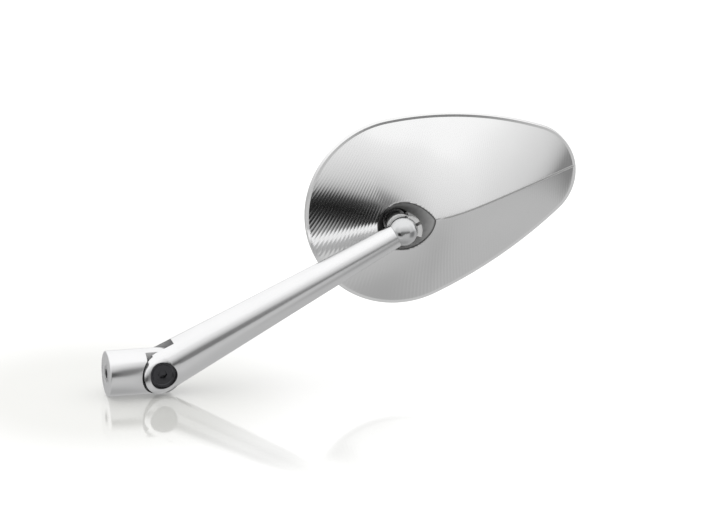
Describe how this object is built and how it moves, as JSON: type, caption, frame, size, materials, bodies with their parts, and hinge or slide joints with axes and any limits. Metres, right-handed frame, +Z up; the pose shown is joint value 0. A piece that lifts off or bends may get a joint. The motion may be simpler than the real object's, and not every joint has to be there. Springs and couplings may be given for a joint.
{
  "type": "motorcycle mirror",
  "caption": "Rear-view mirror with a leaf-shaped milled head on a ball joint, a tapered arm and a pivoting threaded base.",
  "frame": {"origin": "middle of the base's mounting face, on the thread's axis", "axes": "+X along the base's axis from the mounting face to the pivot, +Z up, +Y from the arm to the glass side"},
  "size_m": [0.2479, 0.0391, 0.1283],
  "materials": {
    "machined_aluminium": "clear anodised, fine satin",
    "milled_aluminium": "clear anodised over fine parallel milled grooves",
    "socket_aluminium": "satin",
    "polished_steel": "polished",
    "plain_steel": "turned, plain",
    "spring_steel": "dark, plain",
    "black_steel": "black, satin",
    "bronze": "plain",
    "seat_plastic": "matte",
    "foam": "soft foam",
    "seal_rubber": "matte",
    "mirror_glass": "silvered behind"
  },
  "bodies": {
    "base": {"base_knuckle": "machined_aluminium", "thread_insert": "plain_steel", "tongue_bush": "bronze"},
    "arm": {"arm": "machined_aluminium", "friction_washer_front": "plain_steel", "friction_washer_back": "plain_steel", "pivot_screw": "black_steel", "pivot_spring": "spring_steel", "pivot_nut": "black_steel", "ball_stud": "polished_steel"},
    "back_seat": {"seat_liner_back": "seat_plastic"},
    "finger_seat": {"seat_liner_fingers": "seat_plastic"},
    "head": {"socket_cup": "socket_aluminium", "thrust_washer": "plain_steel", "socket_spring": "spring_steel", "socket_nut": "plain_steel", "head_shell": "milled_aluminium", "glass_pad": "foam", "glass_seal": "seal_rubber", "mirror_glass": "mirror_glass"}
  },
  "joints": [
    {"name": "arm_pivot", "type": "hinge", "parent": "base", "child": "arm", "pos_m": [0.0273, 0, 0], "axis": [0, -1, 0], "range_deg": [-60, 8]},
    {"name": "head_tip", "type": "hinge", "parent": "arm", "child": "back_seat", "pos_m": [0.15264, 0, 0.06414], "axis": [0.8902, 0, 0.4555], "range_deg": [-30, 30]},
    {"name": "head_swing", "type": "hinge", "parent": "back_seat", "child": "finger_seat", "pos_m": [0.15264, 0, 0.06414], "axis": [-0.4555, 0, 0.8902], "range_deg": [-10, 10]},
    {"name": "head_turn", "type": "hinge", "parent": "finger_seat", "child": "head", "pos_m": [0.15264, 0, 0.06414], "axis": [0, 1, 0], "range_deg": [-15, 15]}
  ]
}
